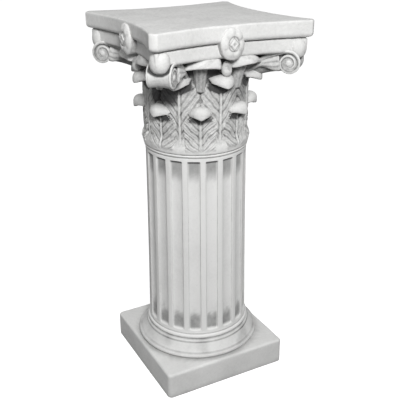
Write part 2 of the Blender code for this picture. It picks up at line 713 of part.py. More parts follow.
def build_side_ornament(material):
    """Stems, curls, buds and rosettes of all four sides."""
    pitch = tau / LEAF_COUNT
    curls = [curl_body(side, hand) for side in range(4) for hand in (-1, 1)]
    stems = [stem_body(index * pitch + pitch / 2) for index in range(LEAF_COUNT)]
    sheaths = [sheath_body(corner, hand) for corner in range(4) for hand in (-1, 1)]
    bud_profile = [(BUD_ROOT_REACH, 0.8), (BUD_REACH - BUD_WIDTH / 2, 1.0),
                   (BUD_REACH - BUD_WIDTH * 0.15, 0.72), (BUD_REACH, 0.3)]
    buds = [boss_body(side, slab_bottom - BUD_DROP, BUD_WIDTH, BUD_HEIGHT, bud_profile, 6, 0.0)
            for side in range(4)]
    middle = COLUMN_HEIGHT - SLAB_HEIGHT * 0.55
    face = SLAB_WIDTH / 2 - SLAB_HOLLOW
    rosette_profile = [(face - SLAB_BAND_INSET - 0.006, 1.0), (face + ROSETTE_RISE * 0.3, 0.97),
                       (face + ROSETTE_RISE, 0.55)]
    rosettes = [boss_body(side, middle, ROSETTE_WIDTH, ROSETTE_HEIGHT, rosette_profile,
                          2 * ROSETTE_PETALS, 0.04) for side in range(4)]
    core_profile = [(face, 1.0), (face + ROSETTE_RISE * 0.9, 1.0), (face + ROSETTE_CORE_RISE, 0.55)]
    cores = [boss_body(side, middle, ROSETTE_CORE_WIDTH, ROSETTE_CORE_WIDTH * 1.1, core_profile, 4, 0.0)
             for side in range(4)]
    groups = {"curls": curls, "stems": stems, "sheaths": sheaths, "buds": buds,
              "rosettes": rosettes, "rosette cores": cores}
    pieces = []
    for name, bodies in groups.items():
        points, faces = joined(bodies)
        pieces.append(mesh_object(name, points, faces, material))
    return pieces


def build_capital(material):
    """Collar, bell, leaves, volutes, sheaths, curls, rosettes and slab, fused into one block."""
    capital = build_bell("capital", material)
    pitch = tau / LEAF_COUNT
    lower = (LOWER_LEAF_ROWS, LOWER_LEAF_FOOT, LOWER_LEAF_BEND, LOWER_LEAF_CURL, LOWER_LEAF_WIDTH,
             LOWER_LEAF_WIDTH * 0.85, LOWER_TIP_WIDTH, LOWER_TIP_DROOP)
    middle = (UPPER_LEAF_ROWS, UPPER_LEAF_FOOT, UPPER_LEAF_BEND, UPPER_LEAF_CURL, UPPER_LEAF_WIDTH,
              UPPER_STEM_WIDTH, UPPER_TIP_WIDTH, UPPER_TIP_DROOP)
    corner = (UPPER_LEAF_ROWS, UPPER_LEAF_FOOT, CORNER_LEAF_BEND, CORNER_LEAF_CURL, UPPER_LEAF_WIDTH,
              UPPER_STEM_WIDTH, CORNER_TIP_WIDTH, UPPER_TIP_DROOP)
    parts = [build_slab(material)]
    parts.append(build_leaves("lower leaves", material, pitch / 2, [lower]))
    parts.append(build_leaves("upper leaves", material, 0.0, [middle, corner]))
    parts += build_volutes(material)
    parts += build_side_ornament(material)
    unite(capital, parts)
    return capital


clear_scene()
build_base(stone("base stone", STONE, 0.85))
build_shaft(stone("shaft stone", STONE, 0.82))
build_capital(stone("capital stone", STONE, 0.85))
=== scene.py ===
import bpy
import numpy as np
from mathutils import Matrix, Vector


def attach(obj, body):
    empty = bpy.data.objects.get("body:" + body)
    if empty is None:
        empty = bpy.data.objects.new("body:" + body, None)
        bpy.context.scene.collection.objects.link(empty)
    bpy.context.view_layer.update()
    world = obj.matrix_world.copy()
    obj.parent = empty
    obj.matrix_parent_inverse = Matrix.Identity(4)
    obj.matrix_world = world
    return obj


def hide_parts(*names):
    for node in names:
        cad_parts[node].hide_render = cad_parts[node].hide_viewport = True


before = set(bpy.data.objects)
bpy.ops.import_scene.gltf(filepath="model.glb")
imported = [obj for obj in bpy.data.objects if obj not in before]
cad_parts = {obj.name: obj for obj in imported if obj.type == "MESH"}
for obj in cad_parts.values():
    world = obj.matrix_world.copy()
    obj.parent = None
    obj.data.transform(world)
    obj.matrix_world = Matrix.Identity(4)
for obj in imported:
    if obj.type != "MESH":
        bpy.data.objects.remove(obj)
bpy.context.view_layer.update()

# Plinth: the square foot of the cast-stone base, poured face down in a mould, so that its edges
# came out soft and its sides a little uneven. It stands on the floor by the column's own weight.

plinth_side = 0.282
plinth_height = 0.058
plinth_corner = 0.0090
plinth_edge = 0.0055
plinth_foot_edge = 0.0014
plinth_unevenness = 0.0055
plinth_dip = 0.0009
clean_stone = (0.76, 0.76, 0.75, 1)
# Dark colour for dirt and painted shade alike.
base_dirt_and_shade = (0.14, 0.14, 0.14, 1)


def ease(low, high, value):
    """Rises from 0 at low to 1 at high as 3t² - 2t³, where t is the share of the way there."""
    share = np.clip((value - low) / (high - low), 0, 1)
    return share * share * (3 - 2 * share)


def waver(points, size, seed):
    """Uneven surface from 0 to 1: the mean of eight sine waves about size long, in drawn directions."""
    draw = np.random.default_rng(seed)
    ways = draw.normal(size=(8, 3))
    ways = ways / np.linalg.norm(ways, axis=1, keepdims=True) * draw.uniform(0.7, 1.6, (8, 1))
    turns = points @ ways.T * (2 * np.pi / size) + draw.uniform(0, 2 * np.pi, 8)
    return 0.5 + 0.5 * np.sin(turns).mean(-1)


def stone_piece(name, stacks, material):
    """Mesh of one or more closed tubes, each a pair of points[ring, step] and how grey each point is.

    Quads join every ring to the next, a fan of triangles closes both end rings at their middle, and
    a tube whose volume comes out negative has its faces turned.
    """
    points, greys, quads, fans = [], [], [], []
    start = 0
    for rings, grey in stacks:
        count, steps = rings.shape[:2]
        here = start + np.arange(count * steps).reshape(count, steps)
        ahead = np.roll(here, -1, axis=1)
        foot_middle = np.full(steps, start + count * steps)
        side = np.stack([here[:-1], ahead[:-1], ahead[1:], here[1:]], -1).reshape(-1, 4)
        foot = np.stack([ahead[0], here[0], foot_middle], -1)
        head = np.stack([here[-1], ahead[-1], foot_middle + 1], -1)
        whole = np.concatenate([rings.reshape(-1, 3), rings[0].mean(0)[None], rings[-1].mean(0)[None]])
        grey = np.broadcast_to(grey, (count, steps))
        whole_grey = np.concatenate([grey.reshape(-1), [grey[0].mean()], [grey[-1].mean()]])
        corners = np.concatenate([side[:, [0, 1, 2]], side[:, [0, 2, 3]], foot, head]) - start
        first, second, third = whole[corners[:, 0]], whole[corners[:, 1]], whole[corners[:, 2]]
        if (np.cross(first, second) * third).sum() < 0:
            side, foot, head = side[:, ::-1], foot[:, ::-1], head[:, ::-1]
        points.append(whole)
        greys.append(whole_grey)
        quads.append(side)
        fans += [foot, head]
        start += len(whole)
    mesh = bpy.data.meshes.new(name)
    faces = np.concatenate(quads).tolist() + np.concatenate(fans).tolist()
    mesh.from_pydata(np.concatenate(points), [], faces)
    # This attribute holds both real dirt and painted shade, from 0 clean to 1 darkest.
    mesh.attributes.new("dirt_and_shade", "FLOAT", "POINT")
    mesh.attributes["dirt_and_shade"].data.foreach_set("value", np.concatenate(greys).astype(np.float32))
    mesh.shade_smooth()
    mesh.materials.append(material)
    piece = bpy.data.objects.new(name, mesh)
    bpy.context.scene.collection.objects.link(piece)
    return piece


class Shade:
    """A socket of a material that takes part in sums: 1 - grey adds the Math node by itself."""

    def __init__(self, tree, socket=None):
        self.tree = tree
        self.socket = socket

    def node(self, kind, settings, values, output=0):
        """Adds a node of a kind, with its settings first and then its sockets' values or links."""
        made = self.tree.nodes.new(kind)
        for name, setting in settings.items():
            setattr(made, name, setting)
        for name, value in values.items():
            if isinstance(value, Shade):
                self.tree.links.new(value.socket, made.inputs[name])
            else:
                made.inputs[name].default_value = value
        return Shade(self.tree, made.outputs[output])

    def maths(self, operation, first, second):
        return self.node("ShaderNodeMath", {"operation": operation}, {0: first, 1: second})

    def __add__(self, other):
        return self.maths("ADD", self, other)

    def __radd__(self, other):
        return self.maths("ADD", other, self)

    def __sub__(self, other):
        return self.maths("SUBTRACT", self, other)

    def __rsub__(self, other):
        return self.maths("SUBTRACT", other, self)

    def __mul__(self, other):
        return self.maths("MULTIPLY", self, other)

    def __rmul__(self, other):
        return self.maths("MULTIPLY", other, self)


def cast_stone(name, clean, dirt_and_shade_colour, patchy, grain, rough):
    """Cast stone: a clean colour with a soft mottle, darkened by dirt and painted shade, and fine grain.

    Grey is the mesh attribute of real dirt and painted shade, moved up and down by clouds. The surface
    has sand grain about 1 mm across, broader unevenness from the mould, and a few pinholes where air was
    caught. Where that grey is half way, crumbs and pits 3 to 6 mm wide break up the carving, as much as
    rough says.
    """
    material = bpy.data.materials.new(name)
    material.use_nodes = True
    tree = material.node_tree
    shader = tree.nodes["Principled BSDF"]
    stone = Shade(tree)
    place = stone.node("ShaderNodeTexCoord", {}, {}, "Object")
    dirt_and_shade = stone.node("ShaderNodeAttribute", {"attribute_name": "dirt_and_shade"}, {}, "Fac")

    def noise(scale, detail, **more):
        values = {"Vector": place, "Scale": scale, "Detail": detail, **more}
        return stone.node("ShaderNodeTexNoise", {}, values)

    cloud = noise(24.0, 5.0, Roughness=0.6)
    broad = noise(7.0, 2.0)
    sand = noise(520.0, 3.0, Roughness=0.7)
    speck = noise(190.0, 2.0)
    crumb = noise(150.0, 3.0, Roughness=0.65, Distortion=0.6)
    holes = stone.node("ShaderNodeTexVoronoi", {}, {"Vector": place, "Scale": 95.0, "Randomness": 1.0},
                       "Distance")
    pinhole = stone.node("ShaderNodeMapRange", {}, {"Value": holes, "From Min": 0.06, "From Max": 0.11,
                                                    "To Min": 1.0, "To Max": 0.0}, "Result")
    half_grey = stone.node("ShaderNodeClamp", {}, {"Value": dirt_and_shade * (1.0 - dirt_and_shade) * 4.0}, "Result")

    # Grey mixes real dirt with painted shade, as the mesh attribute gives them.
    grey = dirt_and_shade * (1.0 + (cloud - 0.5) * patchy) + (cloud - 0.5) * 0.16 + (broad - 0.5) * 0.22
    grey = grey + (0.5 - crumb) * half_grey * rough * 0.9
    grey = grey + (speck - 0.5) * 0.12 + pinhole * 0.10
    grey = stone.node("ShaderNodeClamp", {}, {"Value": grey}, "Result")
    colour = stone.node("ShaderNodeMix", {"data_type": "RGBA"}, {0: grey, 6: clean, 7: dirt_and_shade_colour}, 2)
    roughness = 0.80 + (cloud - 0.5) * 0.12

    height = (sand - 0.5) * grain + (speck - 0.5) * grain * 0.8
    height = height + (cloud - 0.5) * 2.0 - pinhole * 0.5
    height = height + (crumb - 0.5) * half_grey * rough * 3.0
    relief = stone.node("ShaderNodeBump", {}, {"Height": height, "Distance": 0.0007, "Strength": 0.55},
                        "Normal")
    tree.links.new(colour.socket, shader.inputs["Base Color"])
    tree.links.new(roughness.socket, shader.inputs["Roughness"])
    tree.links.new(relief.socket, shader.inputs["Normal"])
    return material


def square_rings(levels, steps):
    """Rings of a square with round corners. A level is half the width, the corner's radius and the height.

    A ray from the middle is cut off at the corner arcs' centres, and the rest of it, made as long as
    the corner's radius, is laid on from there.
    """
    half, corner, height = [np.array(value)[:, None] for value in zip(*levels)]
    angle = (np.arange(steps) + 0.5) * 2 * np.pi / steps
    ray = half * 1.75
    far = np.stack([ray * np.cos(angle), ray * np.sin(angle)], -1)
    inner = (half - corner)[..., None]
    centre = np.clip(far, -inner, inner)
    rest = far - centre
    flat = centre + corner[..., None] * rest / np.linalg.norm(rest, axis=-1, keepdims=True)
    return np.concatenate([flat, np.broadcast_to(height[..., None], flat.shape[:2] + (1,))], -1)


# The levels are the underside, a small round at the foot, the upright sides, the round upper edge
# and the flat top, where more levels carry the dirt.
plinth_half = plinth_side / 2
foot_turns = np.radians(np.linspace(0, 90, 5))
edge_turns = np.radians(np.linspace(11, 90, 8))
plinth_levels = [(plinth_half - 0.02, plinth_corner, 0.0)]
plinth_levels += [(plinth_half - plinth_foot_edge * (1 - np.sin(turn)), plinth_corner,
                   plinth_foot_edge * (1 - np.cos(turn))) for turn in foot_turns]
plinth_levels += [(plinth_half, plinth_corner, height)
                  for height in np.linspace(0.006, plinth_height - plinth_edge, 7)]
plinth_levels += [(plinth_half - plinth_edge * (1 - np.cos(turn)),
                   plinth_corner - plinth_edge * 0.4 * (1 - np.cos(turn)),
                   plinth_height - plinth_edge * (1 - np.sin(turn))) for turn in edge_turns]
plinth_levels += [(plinth_half - inset, plinth_corner * 0.6, plinth_height)
                  for inset in (0.007, 0.011, 0.016, 0.024, 0.034, 0.050)]
plinth_rings = square_rings(plinth_levels, 360)
plinth_uneven = waver(plinth_rings, 0.075, 3)
plinth_rings[..., :2] *= (1 - plinth_unevenness * plinth_uneven)[..., None]
plinth_rings[..., 2] -= plinth_dip * plinth_uneven * (plinth_rings[..., 2] > plinth_height * 0.6)

# A thin film of dirt lies all over. On top round the mouldings a painted shadow is added, and painted
# shade along the floor.
height = plinth_rings[..., 2]
reach = np.hypot(plinth_rings[..., 0], plinth_rings[..., 1])
# Painted shadow of the lip on the plinth top, and painted shade near the floor.
mouldings_shadow = ease(0.146, 0.130, reach) * (height > plinth_height * 0.9)
floor_shade = ease(0.012, 0.0, height)
plinth_grey = 0.12 + 0.30 * mouldings_shadow + 0.25 * floor_shade
base_stone = cast_stone("base stone", clean_stone, base_dirt_and_shade, patchy=0.9, grain=1.0, rough=0.15)
plinth = stone_piece("plinth", [(plinth_rings, plinth_grey)], base_stone)
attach(plinth, "root")
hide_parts("base")

# Round mouldings of the base: a lip over an undercut, a hollow slope and two thin fillets.
# They are one casting with the plinth, and the shaft stands on the flat seat at their top.

lip_radius = 0.1287
lip_height = 0.0655
lip_size = 0.0050
undercut_height = 0.0706
slope_foot = (0.1273, 0.0710)
slope_run = 0.0113
slope_rise = 0.0178
slope_hollow = 0.0008
fillet_height = 0.0893
seat_height = 0.0960
moulding_unevenness = 0.0045


def turned_rings(profile, steps):
    """Rings of a turned piece: every (radius, height) of the profile carried once round the axis."""
    radius, height = np.array(profile, float).T[:, :, None]
    angle = np.arange(steps) * 2 * np.pi / steps
    return np.stack([radius * np.cos(angle), radius * np.sin(angle), height + 0 * angle], -1)


def arc(radius, height, size, first, last, count):
    """Points of an arc in the (radius, height) plane, between two angles in degrees."""
    angle = np.radians(np.linspace(first, last, count))
    return [(radius + size * np.cos(a), height + size * np.sin(a)) for a in angle]


def line(value, middle, width):
    """Soft line: 1 where the value is the middle, falling off as exp(-d²), d the distance in widths."""
    return np.exp(-((value - middle) / width) ** 2)


foot_splay = [(0.1180, 0.0545), (0.1215, 0.0580), (0.1248, 0.0592), (0.1262, 0.0600)]
lip = arc(lip_radius, lip_height, lip_size, -65, 62, 14)
undercut = [(0.1294, 0.0704), (0.1286, 0.0708), (0.1279, undercut_height)]
slope = [(slope_foot[0] - slope_run * t - slope_hollow * 4 * t * (1 - t), slope_foot[1] + slope_rise * t)
         for t in np.linspace(0, 1, 14)]
fillets = [(0.1157, fillet_height), (0.1151, 0.0892), (0.1146, 0.0896), (0.1146, 0.0912), (0.1144, 0.0924)]
seat = [(0.1136, 0.0930), (0.1120, 0.0938), (0.1105, 0.0950), (0.1088, 0.0958), (0.1060, seat_height)]
moulding_rings = turned_rings(foot_splay + lip + undercut + slope + fillets + seat, 300)
moulding_uneven = waver(moulding_rings, 0.055, 5)
moulding_rings[..., :2] *= (1 - moulding_unevenness * moulding_uneven)[..., None]

# Painted shade darkens the undercut, the groove under the fillets and the foot under the lip; stains lie
# on the slope and dirt in the joint at the seat.
height = moulding_rings[..., 2]
stains = ease(0.45, 0.75, waver(moulding_rings, 0.060, 61)) * ease(0.060, 0.076, height)
# Painted shade in the undercut and the fillet groove; real stains on the slope.
moulding_grey = 0.14 + 0.30 * line(height, undercut_height, 0.0010) + 0.26 * stains
moulding_grey = moulding_grey + 0.55 * line(height, fillet_height, 0.0009)
# Painted shadow under the lip at the foot, and dirt in the joint at the seat.
moulding_grey = moulding_grey + 0.65 * ease(0.0615, 0.0585, height) + 0.45 * ease(0.0930, 0.0950, height)
mouldings = stone_piece("base_mouldings", [(moulding_rings, moulding_grey)], base_stone)
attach(mouldings, "root")
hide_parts("base")

# Shaft: a drum with eighteen hollow flutes, a bead at its foot and a thin ring under the capital.
# It is one casting, set on the base, and dirt has gathered in the ends of its flutes.

shaft_foot = 0.0963
shaft_top = 0.5108
drum_top_radius = 0.1042
drum_spread = 0.0045
bead_radius = 0.1080
bead_height = 0.1009
bead_size = 0.0046
neck_ring_radius = 0.1036
neck_ring_height = 0.5083
neck_ring_size = 0.0024
flute_count = 18
flute_share = 0.71
flute_depth = 0.0054
flute_foot = 0.1133
flute_top = 0.4975
flute_end_bow = 0.0022
shaft_unevenness = 0.0045
# Dark colour for dirt and painted shade alike.
shaft_dirt_and_shade = (0.10, 0.10, 0.10, 1)


def drum_radius(height):
    """Neck radius plus a spread that grows towards the foot as the 1.7th power of the way down."""
    down = np.clip((shaft_top - height) / (shaft_top - shaft_foot), 0, 1)
    return drum_top_radius + drum_spread * down ** 1.7


# Round the drum the steps crowd at the edges of every flute and of the fillet beside it.
hollow_steps = np.array([0, 0.012, 0.035, 0.07, 0.12, 0.19, 0.29, 0.40, 0.50, 0.60, 0.71, 0.81, 0.88,
                         0.93, 0.965, 0.988])
fillet_steps = np.array([0, 0.04, 0.16, 0.5, 0.84, 0.96])
flute_steps = np.concatenate([flute_share * hollow_steps, flute_share + (1 - flute_share) * fillet_steps])
share = np.tile(flute_steps, flute_count)
flutes_round = np.repeat(np.arange(flute_count), len(flute_steps)) + share - flute_share / 2
azimuth = flutes_round * 2 * np.pi / flute_count
across = np.clip(share / flute_share, 0, 1)
in_hollow = share < flute_share

shaft_profile = [(0.1060, shaft_foot), (0.1078, shaft_foot + 0.0002)]
shaft_profile += arc(bead_radius, bead_height, bead_size, -68, 78, 14)
shaft_profile += [(0.1086, 0.1058), (0.10885, 0.1066), (0.10905, 0.1080), (0.10905, 0.1105)]
for low, high, count in ((0.1122, 0.1245, 16), (0.1270, 0.1600, 14), (0.1750, 0.4350, 10),
                         (0.4420, 0.4900, 18), (0.4915, 0.4955, 5), (0.4960, 0.4992, 9)):
    shaft_profile += [(drum_radius(height), height) for height in np.linspace(low, high, count)]
shaft_profile += [(0.1042, 0.5010), (0.1041, 0.5032), (0.1031, 0.5038), (0.1026, 0.5043),
                  (0.1026, 0.5053), (0.1030, 0.5059)]
shaft_profile += arc(neck_ring_radius, neck_ring_height, neck_ring_size, -70, 70, 9)
shaft_profile += [(0.1030, shaft_top)]
radius, height = np.array(shaft_profile).T[:, :, None]

# A flute is as deep as the 0.38th power of a sine across it. Its ends are eased out, and bow
# towards its sides by the fifth power of the way from its middle. The fillets' edges are worn.
end_bow = flute_end_bow * np.abs(2 * across - 1) ** 5
foot_end = ease(0, 0.0075, height - flute_foot - end_bow) ** 0.8
top_end = ease(0, 0.0017, flute_top - end_bow * 0.6 - height)
hollow = np.sin(np.pi * across) ** 0.38 * in_hollow
sunk = flute_depth * hollow * foot_end * top_end
from_edge = np.minimum(np.abs(share - flute_share), np.minimum(share, 1 - share))
worn = 0.0003 * line(from_edge, 0, 0.012)
fluted = (height > 0.1125) & (height < 0.4995)
surface = radius - np.where(fluted, sunk + worn, 0)
shaft_rings = np.stack([surface * np.cos(azimuth), surface * np.sin(azimuth), height + 0 * azimuth], -1)
shaft_uneven = waver(shaft_rings, 0.09, 11) * ease(0.0965, 0.104, height) * ease(0.5105, 0.500, height)
shaft_rings[..., :2] *= (1 - shaft_unevenness * shaft_uneven)[..., None]

# Dirt lies in ragged patches at both ends of the flutes and in the joint at the foot. Painted shade
# lies in a thin line along the flutes' walls, in the grooves over the bead and under the ring, and
# faintly with the depth of every flute, and a painted shadow lies under the flutes' top ends.
ragged = 0.014 * (waver(shaft_rings, 0.024, 71) - 0.5) + 0.010 * (waver(shaft_rings, 0.009, 72) - 0.5)
deep = hollow * ease(0.0, 0.6, sunk / flute_depth)
in_flute = ease(0.35, 0.8, deep)
low_patch = in_flute * ease(0.1150, 0.1205, height) * ease(0.163, 0.138, height + ragged)
top_patch = in_flute * ease(0.446, 0.480, height + 0.6 * ragged)
# Painted shadow under the overhanging top end of every flute.
flute_top_shadow = ease(0.4915, 0.4945, height) * ease(0.2, 0.6, hollow) * (height < flute_top)
# Painted shade on the flutes' walls, stronger on the wall turned from the light.
wall_shade = line(across, 0.975, 0.022) + 0.5 * line(across, 0.025, 0.020)
wall_shade = wall_shade * fluted * in_hollow * ease(0.02, 0.3, foot_end * top_end)
# Painted shade in the grooves under the neck ring and over the bead; dirt in the joint at the foot.
ring_groove_shade = line(height, 0.5047, 0.0012)
bead_groove_shade = line(height, 0.1061, 0.0008)
foot_joint = ease(0.0985, 0.0966, height)
# A little painted shade by the depth of every flute.
shaft_grey = 0.01 + 0.02 * deep + 0.42 * wall_shade + 0.60 * low_patch + 0.58 * top_patch
shaft_grey = shaft_grey + 0.80 * flute_top_shadow + 0.6 * ring_groove_shade + 0.5 * bead_groove_shade + 0.5 * foot_joint
shaft_stone = cast_stone("shaft stone", clean_stone, shaft_dirt_and_shade, patchy=1.0, grain=0.7, rough=0.10)
shaft = stone_piece("shaft_drum", [(shaft_rings, shaft_grey)], shaft_stone)
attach(shaft, "root")
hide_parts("shaft")

# Collar and bell: the round core of the capital, one casting with all the carving on it.
# The capital is set on the shaft, its collar stands out over it, and the bell spreads under the slab.

capital_foot = 0.5111
slab_bottom = 0.699
bell_neck = 0.0998
bell_spread = 0.0182
spread_height = 0.060
bell_unevenness = 0.004
# Dark colour for dirt and painted shade alike.
capital_dirt_and_shade = (0.05, 0.05, 0.05, 1)


def bell_radius(height):
    """Straight at the neck's radius, then spreading as the 2.6th power of the way up to the slab."""
    up = np.clip((height - (slab_bottom - spread_height)) / spread_height, 0, 1)
    return bell_neck + bell_spread * up ** 2.6


collar = [(0.1040, capital_foot), (0.1056, 0.5112), (0.1066, 0.5120), (0.1073, 0.5134), (0.1077, 0.5150)]
collar += [(0.1078, 0.5166), (0.1078, 0.5190), (0.1077, 0.5215), (0.1075, 0.5240), (0.1071, 0.5262)]
collar += [(0.1064, 0.5285), (0.1053, 0.5310), (0.1038, 0.5340), (0.1022, 0.5370), (0.1008, 0.5400)]
bell_profile = collar + [(bell_radius(height), height) for height in np.linspace(0.5425, 0.702, 40)]
bell_rings = turned_rings(bell_profile, 240)
bell_rings[..., :2] *= (1 - bell_unevenness * waver(bell_rings, 0.05, 17))[..., None]

# Painted shade darkens the bell behind the leaves and under the slab, and at its foot both the joint and
# painted shadow under the collar's edge darken it.
height = bell_rings[..., 2]
bell_grey = 0.08 + 0.30 * ease(0.524, 0.536, height) + 0.35 * ease(0.540, 0.570, height)
bell_grey = bell_grey + 0.27 * ease(0.655, 0.672, height) + 0.40 * ease(0.5132, 0.5118, height)
capital_stone = cast_stone("capital stone", clean_stone, capital_dirt_and_shade, patchy=0.7, grain=1.0, rough=1.0)
bell = stone_piece("capital_bell", [(bell_rings, bell_grey)], capital_stone)
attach(bell, "root")
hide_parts("capital")

# Lower leaves: eight acanthus leaves round the bell, cast in one with it.
# Each has a thin raised rib, slanting fingers with a vein down the middle, and a full lip that
# rolls out and hangs down in a blunt point.

leaf_count = 8
climbing_rows = 86
lip_rows = 30
face_steps = 73
rear_steps = 25
leaf_thickness = 0.0098
rib_height = 0.0036
finger_height = 0.0034
vein_depth = 0.0013
lower_leaf = dict(foot=0.0035, bend=0.0841, curl=0.0083, width=0.0680, stem=0.0600, tip=0.0480,
                  droop=0.0112, slant=1.15, pitch=0.0140, sag=0.0060, neck=0.0170, shade=0.70)


def core_radius(height):
    """Radius of collar and bell at a height, read off the bell's profile."""
    radii, levels = np.array(bell_profile).T
    return np.interp(height, levels, radii)


def leaf_fingers(climb, away, half, slant, pitch, where):
    """Height of a leaf's fingers, and the mark of the vein down each, both from 0 to 1.

    Fingers are bands, a little wavy, of the height less slant times the distance from the rib. A
    band is (1 - |2f - 1|³)^0.6 high, with f the place in it, and narrows in a quarter circle to a
    round end at the leaf's edge. The vein is a soft line in its middle.
    """
    sway = 0.55 * (waver(where, 0.032, 41) - 0.5)
    band = (climb - slant * away * (1 - 0.16 * away / half)) / pitch + sway
    place = band - np.floor(band)
    close = np.clip((half - away) / (0.48 * pitch / np.sqrt(1 + slant ** 2)), 0.02, 1)
    narrow = np.sqrt(1 - (1 - close) ** 2)
    finger = np.clip(1 - np.abs((2 * place - 1) / narrow) ** 3, 0, 1) ** 0.6
    vein = line(place, 0.5, 0.075) * ease(0.1, 0.8, close) * ease(0.004, 0.010, away)
    return finger, vein


def acanthus(azimuth, foot, bend, curl, width, stem, tip, droop, slant, pitch, sag, neck, shade):
    """Closed rings round one leaf, from its root to the end of its rolled lip, and how grey they are.

    The leaf climbs the bell from foot to bend, rolls out by half a turn on an arc of radius curl and
    hangs straight down by droop. Towards the sides the bend lies lower by sag times the square of
    the share across, and the arc is smaller, so the lip is a lens seen from the front. The leaf is
    stem wide at its root, grows to width, and narrows to tip over the neck, with small notches
    between the fingers. Painted shade greys it between fingers and beside the rib, a painted
    highlight lightens the rib, and shade is how dark the painted shadow is on the face under the lip.
    """
    rows = np.concatenate([np.linspace(0, 1, climbing_rows), 1 + np.linspace(0, 1, lip_rows + 1)[1:]])
    share = np.minimum(rows, 1)[:, None]
    curled = np.maximum(rows - 1, 0)[:, None]
    side = np.concatenate([np.linspace(-1, 1, face_steps), np.linspace(1, -1, rear_steps)])[None]
    on_face = np.arange(face_steps + rear_steps)[None] < face_steps

    climb = share * (bend - foot) - sag * side ** 2 * ease(0.40, 1.0, share)
    near_bend = ease(bend - foot - neck, bend - foot, climb + sag * side ** 2)
    half = stem / 2 + (width - stem) / 2 * ease(0.12, 0.62, share)
    notch = (climb - slant * 0.8 * half) / pitch
    notch = notch - np.floor(notch)
    half = half * (1 - 0.07 * np.abs(2 * notch - 1) ** 3)
    half = half * (1 - near_bend) + tip / 2 * (1 - 0.10 * curled ** 2) * near_bend
    out = side * half
    away = np.abs(out)
    angle = azimuth + out / bell_neck / (1 + 0.25 * curled)
    height = capital_foot + foot + climb
    where = np.stack([0.1 * np.cos(angle), 0.1 * np.sin(angle), height], -1)

    finger, vein = leaf_fingers(climb, away, half, slant, pitch, where)
    rib = line(out, 0, 0.0013) * (1 - 0.7 * near_bend)
    beside = line(away, 0.0038, 0.0015)
    relief = ease(0.0, 0.014, climb) * (1 - ease(0.90, 1.02, rows[:, None]))
    swell = (finger_height * finger - vein_depth * vein) * (0.55 + 0.9 * waver(where, 0.017, 47))
    swell = (swell - 0.0010 * beside) * (1 - line(out, 0, 0.003)) + rib_height * rib

    size = curl * (1 - 0.62 * side ** 2)
    swing = np.pi * np.minimum(curled / 0.72, 1)
    hang = np.maximum(droop * (1 - np.abs(side)), 0.0010) * ease(0.70, 1.0, curled)
    thick = leaf_thickness * (1 - 0.50 * np.abs(side) ** 3) * (1 + 0.34 * (waver(where, 0.016, 43) - 0.5))
    rolled = np.minimum(curled * 2.6, 1)
    round_end = np.sqrt(1 - np.clip((curled - 0.86) / 0.14, 0, 0.985) ** 2)
    edge = ease(0.90, 1.0, np.abs(side))
    lift = (-0.0008 + relief * swell - 0.0040 * edge) * (1 - rolled) + thick / 2 * round_end * rolled
    rear = -0.0085 * (1 - rolled) - thick / 2 * round_end * rolled
    rise = np.where(on_face, lift, rear)
    skin = 0.0004 + 0.0032 * ease(0.0, 0.6, share)
    radius = core_radius(height) + skin - 0.0045 * curled * side ** 2
    radius = radius + size * (1 - np.cos(swing)) + rise * np.cos(swing)
    level = height + size * np.sin(swing) - hang - rise * np.sin(swing)
    rings = np.stack([radius * np.cos(angle), radius * np.sin(angle), level], -1)

    # Painted shade in the creases, a painted highlight on the rib, and painted shade on the face as it
    # rolls under the lip.
    deep = np.clip((1 - finger) * (1 - rib) + 0.30 * vein + 0.5 * beside * (1 - rib), 0, 1)
    grey = 0.24 + 0.58 * relief * deep - 0.20 * rib * relief + 0.3 * curled
    across = np.clip(away / (tip / 2), 0, 1)
    lip_foot = bend - foot - sag * across ** 2 - droop * (1 - across) - 0.0045
    lip_foot = lip_foot - 0.35 * curl * (1 - 0.62 * across ** 2)
    # Painted shadow on the leaf face just under the lip.
    lip_shadow = ease(lip_foot - 0.0085, lip_foot - 0.0030, climb) * ease(1.20, 0.75, away / (tip / 2))
    grey = grey + shade * lip_shadow
    grey = grey * (0.35 + 0.65 * ease(capital_foot + 0.004, capital_foot + 0.026, level))
    # Painted light: the rear, which becomes the lip's top, is lighter where it rolls over.
    rear_grey = 0.46 - 0.34 * ease(0.05, 0.45, curled)
    return rings, np.where(on_face, grey, rear_grey) + 0 * radius


lower_leaves = [acanthus((index + 0.5) * 2 * np.pi / leaf_count, **lower_leaf)
                for index in range(leaf_count)]
lower = stone_piece("lower_leaves", lower_leaves, capital_stone)
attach(lower, "root")
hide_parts("capital")

# Upper leaves: eight taller ones behind, whose ribs rise between the lower leaves, under the middle
# of each side and under the corners, where the lips reach a little further out.
# A painted shadow of the volutes darkens them on one side of the corners, most of all beside the front
# corner.

upper_leaf = dict(foot=0.0200, bend=0.1385, width=0.0780, stem=0.0130, droop=0.0070, slant=1.60,
                  pitch=0.0180, sag=-0.0020, neck=0.0080, shade=0.80)
middle_lip = dict(curl=0.0122, tip=0.0510)
corner_lip = dict(curl=0.0135, tip=0.0500)
# Strength of the painted volute shadow at the front corner and at the others.
front_corner_shadow = 0.95
other_corner_shadow = 0.30

upper_leaves = []
for index in range(leaf_count):
    lip_sizes = corner_lip if index % 2 else middle_lip
    upper_leaves.append(acanthus(index * 2 * np.pi / leaf_count, **upper_leaf, **lip_sizes))
